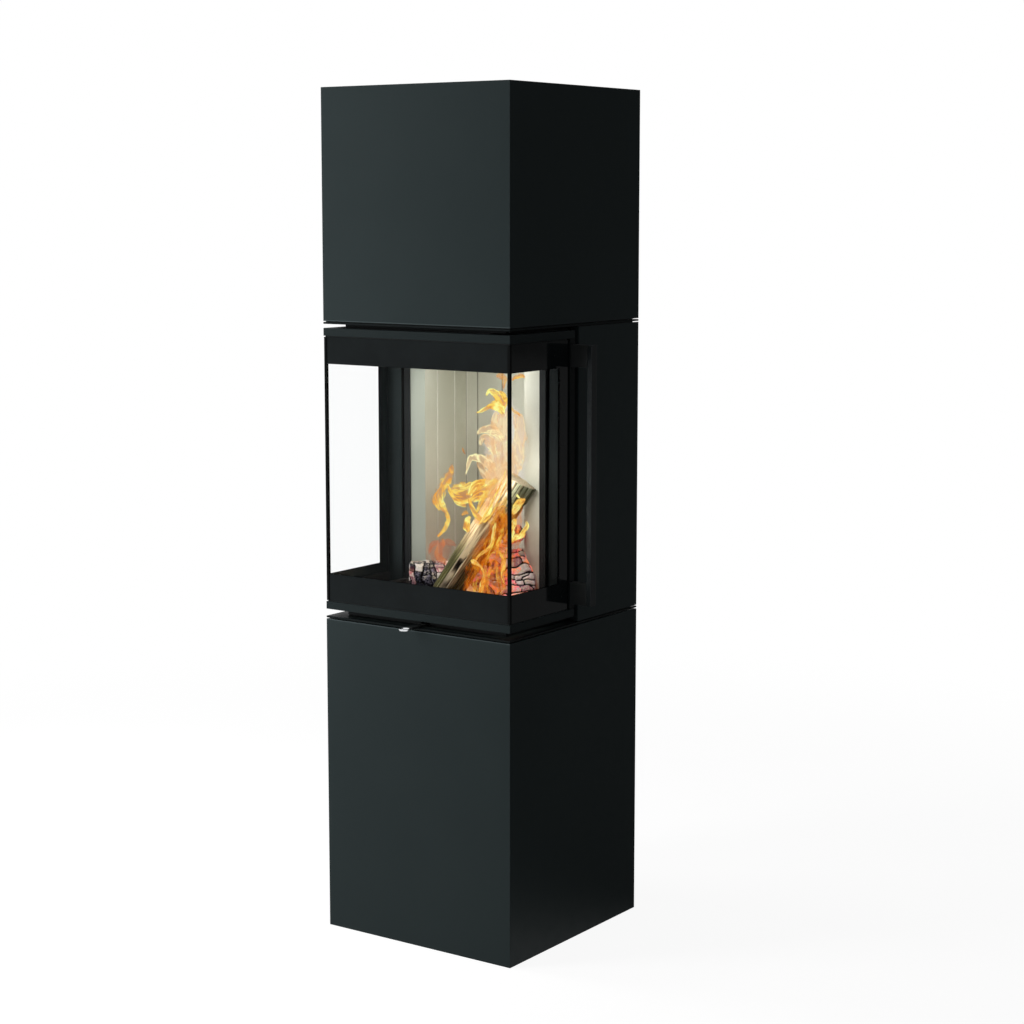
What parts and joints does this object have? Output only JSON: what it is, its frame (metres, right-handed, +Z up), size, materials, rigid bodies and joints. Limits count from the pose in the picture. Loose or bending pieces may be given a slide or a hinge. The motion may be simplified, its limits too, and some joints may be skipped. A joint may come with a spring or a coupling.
{
  "type": "three-sided fireplace",
  "caption": "Slim square column fireplace: U-shaped glass door round front and sides, plain steel casings above and below, bow handle, sliding air lever and top flue outlet.",
  "frame": {"origin": "on the floor, at the middle of the square footprint of the casings", "axes": "+Z up, -Y out of the front, +X towards the side with the handle"},
  "size_m": [0.449, 0.445, 1.515],
  "materials": {
    "coated_steel": "satin",
    "dark_steel": "matte",
    "cast_iron": "matte",
    "plain_steel": "satin",
    "glass": "clear",
    "seal_black": "matte",
    "gasket_rope": "matte",
    "fireclay": "matte",
    "satin_steel": "satin",
    "polished_steel": "polished",
    "bronze": "satin",
    "split_wood": "matte",
    "charred_wood": "matte",
    "embers": "matte"
  },
  "bodies": {
    "stove_body": {"lower_casing": "coated_steel", "lower_rear_panel": "coated_steel", "lower_plate": "coated_steel", "mid_panel_left": "coated_steel", "mid_panel_right": "coated_steel", "mid_rear_panel": "coated_steel", "upper_plate": "coated_steel", "upper_casing": "coated_steel", "upper_rear_panel": "coated_steel", "base_plate": "dark_steel", "support_column": "dark_steel", "lower_neck": "dark_steel", "shutter_guide": "dark_steel", "hearth_plate": "dark_steel", "firebox_carcass": "dark_steel", "ceiling_plate": "dark_steel", "upper_neck": "dark_steel", "mid_carrier_lower": "dark_steel", "mid_carrier_upper": "dark_steel", "upper_carrier": "dark_steel", "flue_pipe": "dark_steel", "hinge_bracket_lower": "dark_steel", "hinge_bracket_upper": "dark_steel", "hearth_tray": "cast_iron", "air_inlet_collar": "plain_steel", "air_duct": "plain_steel", "air_riser": "plain_steel", "lining_left": "fireclay", "lining_right": "fireclay", "lining_back": "fireclay", "chamber_floor": "fireclay", "baffle_board": "fireclay", "hinge_bush": "bronze", "log_leaning": "split_wood", "log_left": "charred_wood", "log_middle": "charred_wood", "log_right": "charred_wood", "log_cross": "charred_wood", "ember_bed": "embers"},
    "door": {"door_bottom_rail": "coated_steel", "door_top_rail": "coated_steel", "door_post_left": "coated_steel", "door_post_right": "coated_steel", "glass_front": "glass", "glass_left": "glass", "glass_right": "glass", "corner_seal_left": "seal_black", "corner_seal_right": "seal_black", "glass_retainer_bottom": "dark_steel", "glass_retainer_top": "dark_steel", "handle_arm_bottom": "dark_steel", "handle_arm_top": "dark_steel", "door_gasket_left": "gasket_rope", "door_gasket_right": "gasket_rope", "hinge_pin_lower": "plain_steel", "hinge_pin_upper": "plain_steel", "handle_grip": "satin_steel"},
    "air_control": {"air_shutter": "dark_steel", "air_lever": "dark_steel", "air_ring": "polished_steel"}
  },
  "joints": [
    {"name": "door_swing", "type": "hinge", "parent": "stove_body", "child": "door", "pos_m": [-0.1945, -0.0135, 0.8], "axis": [0, 0, -1], "range_deg": [0, 100]},
    {"name": "air_slide", "type": "slide", "parent": "stove_body", "child": "air_control", "axis": [0, -1, 0], "range_m": [-0.015, 0.03]}
  ]
}
